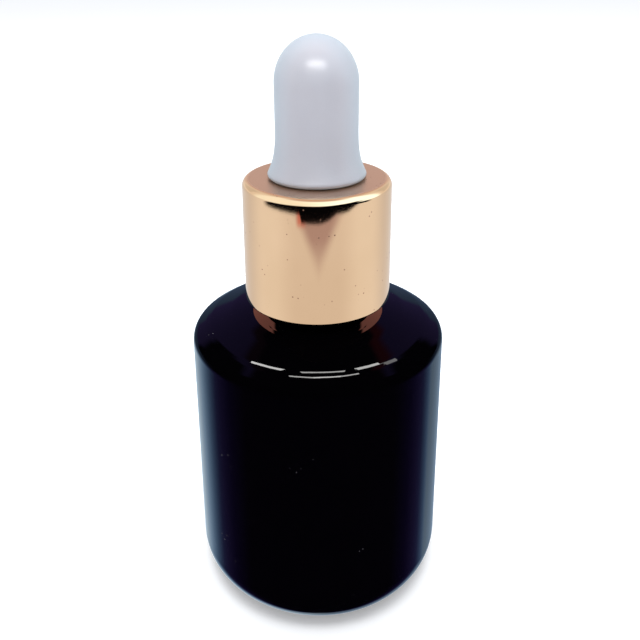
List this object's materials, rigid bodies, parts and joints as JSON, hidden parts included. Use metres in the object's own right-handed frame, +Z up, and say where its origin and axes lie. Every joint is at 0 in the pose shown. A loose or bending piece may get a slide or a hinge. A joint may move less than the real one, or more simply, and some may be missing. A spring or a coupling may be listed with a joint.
{
  "type": "dropper ink bottle",
  "caption": "Round dark glass ink bottle with a threaded neck, a metal clad screw cap, a rubber squeeze bulb and a glass dropper pipette.",
  "frame": {"origin": "centre of the foot, on the axis of revolution, at the height of the foot ring", "axes": "+Z up along the axis of revolution, from the foot to the bulb's crown; the body is round, so +X and +Y are two free horizontal directions"},
  "size_m": [0.037, 0.037, 0.0817],
  "materials": {
    "dark_glass": "gloss",
    "natural_polyethylene": "satin",
    "white_polyethylene": "satin",
    "clear_glass": "gloss",
    "black_polypropylene": "satin",
    "anodised_aluminium": "polished, rose gold anodised",
    "white_rubber": "satin"
  },
  "bodies": {
    "bottle": {"bottle": "dark_glass", "guiding_plug": "natural_polyethylene"},
    "seal": {"seal_washer": "white_polyethylene"},
    "dropper": {"pipette": "clear_glass"},
    "cap": {"inner_cap": "black_polypropylene", "collar": "anodised_aluminium"},
    "bulb": {"bulb": "white_rubber"}
  },
  "joints": [
    {"name": "dropper_lift", "type": "slide", "parent": "bottle", "child": "seal", "axis": [0, 0, 1], "range_m": [0, 0.056]},
    {"name": "cap_rise", "type": "slide", "parent": "seal", "child": "dropper", "axis": [0, 0, 1], "range_m": [0, 0.00635]},
    {"name": "cap_turn", "type": "hinge", "parent": "dropper", "child": "cap", "pos_m": [0, 0, 0.0442], "axis": [0, 0, 1], "range_deg": [0, 720]},
    {"name": "bulb_press", "type": "slide", "parent": "dropper", "child": "bulb", "axis": [0, 0, -1], "range_m": [0, 0.005], "stiffness_N_per_m": 400, "deforming": ["bulb"]}
  ],
  "couplings": [
    {"joint": "cap_turn", "follows": "cap_rise", "rad_per_m": 1979}
  ]
}
